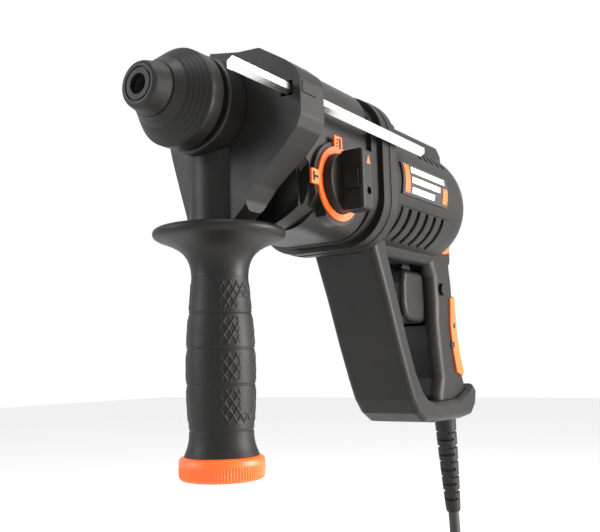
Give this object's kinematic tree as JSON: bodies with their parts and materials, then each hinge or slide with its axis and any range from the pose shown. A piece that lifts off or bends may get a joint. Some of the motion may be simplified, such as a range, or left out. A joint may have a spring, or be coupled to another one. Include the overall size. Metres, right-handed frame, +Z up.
{
  "type": "rotary hammer",
  "caption": "Corded rotary hammer with a sliding chuck sleeve, rotary mode selector, closed rear handle with trigger, clamp-on side handle and depth rod.",
  "frame": {"origin": "mouth of the bit socket, on the spindle axis", "axes": "+X along the spindle towards the rear, +Z up, -Y towards the operator's left, where the mode selector is"},
  "size_m": [0.3695, 0.1065, 0.4458],
  "materials": {
    "dark_plastic": "fine matt texture",
    "gear_case": "satin",
    "black_rubber": "soft matt",
    "orange_plastic": "satin",
    "badge_plastic": "satin",
    "bright_steel": "bright drawn",
    "steel": "ground",
    "copper": "worn copper",
    "cord_jacket": "matt",
    "tie_strap": "woven"
  },
  "bodies": {
    "housing": {"gear_housing": "gear_case", "bearing_plate": "dark_plastic", "left_housing": "dark_plastic", "right_housing": "dark_plastic", "shell_screws": "steel", "field_stator": "steel", "brush_holders": "dark_plastic", "carbon_brushes": "copper", "armature_bearings": "steel", "layshaft_bearings": "steel", "wobble_bearing": "steel", "neck_seal": "black_rubber", "front_bearing": "steel", "rear_spindle_bearing": "steel", "side_badges": "badge_plastic", "switch_body": "dark_plastic", "selector_scale": "orange_plastic", "selector_fork": "steel", "grip_accents": "orange_plastic", "grip_pad": "orange_plastic", "cord_guard": "black_rubber", "cord_lead": "cord_jacket", "cord_coil": "cord_jacket", "cord_tie": "tie_strap", "mains_plug": "cord_jacket", "top_bumper": "dark_plastic"},
    "spindle": {"spindle": "steel", "locking_rollers": "bright_steel", "dust_cap": "black_rubber", "chuck_rings": "steel", "chuck_spring": "steel", "spindle_gear": "steel", "clutch_flange": "steel", "clutch_spring": "steel"},
    "sleeve": {"lock_sleeve": "dark_plastic"},
    "impact_bolt": {"impact_bolt": "steel"},
    "striker": {"striker": "steel", "striker_seal": "black_rubber"},
    "piston": {"piston": "steel"},
    "layshaft": {"layshaft": "steel", "layshaft_pinion": "steel", "layshaft_gear": "steel"},
    "armature": {"armature_shaft": "steel", "motor_pinion": "steel", "armature_core": "steel", "commutator": "copper", "fan": "dark_plastic"},
    "trigger": {"trigger": "dark_plastic"},
    "direction_lever": {"direction_lever": "dark_plastic"},
    "lock_button": {"lock_button": "dark_plastic"},
    "selector": {"selector_knob": "dark_plastic"},
    "selector_release": {"selector_release": "dark_plastic"},
    "clamp": {"clamp_bracket": "dark_plastic"},
    "depth_release": {"depth_release_button": "dark_plastic"},
    "depth_rod": {"depth_rod": "bright_steel"},
    "side_grip": {"grip_core": "dark_plastic", "grip_sleeve": "black_rubber", "grip_end_cap": "orange_plastic", "clamp_bolt": "bright_steel"}
  },
  "joints": [
    {"name": "spindle_spin", "type": "hinge", "parent": "housing", "child": "spindle", "pos_m": [0, 0, 0], "axis": [1, 0, 0], "continuous": true},
    {"name": "sleeve_pull", "type": "slide", "parent": "spindle", "child": "sleeve", "axis": [1, 0, 0], "range_m": [0, 0.003], "stiffness_N_per_m": 900},
    {"name": "impact_bolt_stroke", "type": "slide", "parent": "housing", "child": "impact_bolt", "axis": [1, 0, 0], "range_m": [0, 0.0035]},
    {"name": "striker_stroke", "type": "slide", "parent": "housing", "child": "striker", "axis": [1, 0, 0], "range_m": [0, 0.016]},
    {"name": "piston_stroke", "type": "slide", "parent": "housing", "child": "piston", "axis": [1, 0, 0], "range_m": [-0.003, 0.003]},
    {"name": "layshaft_spin", "type": "hinge", "parent": "housing", "child": "layshaft", "pos_m": [0.1, 0.0194, -0.0229], "axis": [1, 0, 0], "continuous": true},
    {"name": "armature_spin", "type": "hinge", "parent": "housing", "child": "armature", "pos_m": [0.2, 0, -0.018], "axis": [1, 0, 0], "continuous": true},
    {"name": "trigger_pull", "type": "slide", "parent": "housing", "child": "trigger", "axis": [1, 0, 0], "range_m": [0, 0.008], "stiffness_N_per_m": 600},
    {"name": "direction_swing", "type": "hinge", "parent": "housing", "child": "direction_lever", "pos_m": [0.262, 0, -0.055], "axis": [0, 0, 1], "range_deg": [-8, 8]},
    {"name": "lock_button_press", "type": "slide", "parent": "housing", "child": "lock_button", "axis": [0, 1, 0], "range_m": [0, 0.003], "stiffness_N_per_m": 300},
    {"name": "selector_turn", "type": "hinge", "parent": "housing", "child": "selector", "pos_m": [0.104, -0.042, -0.0355], "axis": [0, 1, 0], "range_deg": [-90, 90]},
    {"name": "selector_release_press", "type": "slide", "parent": "selector", "child": "selector_release", "axis": [1, 0, 0], "range_m": [0, 0.0015], "stiffness_N_per_m": 300},
    {"name": "side_handle_swing", "type": "hinge", "parent": "housing", "child": "clamp", "pos_m": [0.0565, 0, 0], "axis": [1, 0, 0], "range_deg": [-30, 0]},
    {"name": "depth_release_press", "type": "slide", "parent": "clamp", "child": "depth_release", "axis": [0, 1, 0], "range_m": [0, 0.0008], "stiffness_N_per_m": 300},
    {"name": "depth_rod_slide", "type": "slide", "parent": "clamp", "child": "depth_rod", "axis": [1, 0, 0], "range_m": [-0.03, 0.04]},
    {"name": "side_grip_turn", "type": "hinge", "parent": "clamp", "child": "side_grip", "pos_m": [0.0565, 0, -0.1], "axis": [0, 0, 1], "continuous": true}
  ],
  "couplings": [
    {"joint": "layshaft_spin", "follows": "spindle_spin", "ratio": -4},
    {"joint": "armature_spin", "follows": "spindle_spin", "ratio": 16}
  ]
}
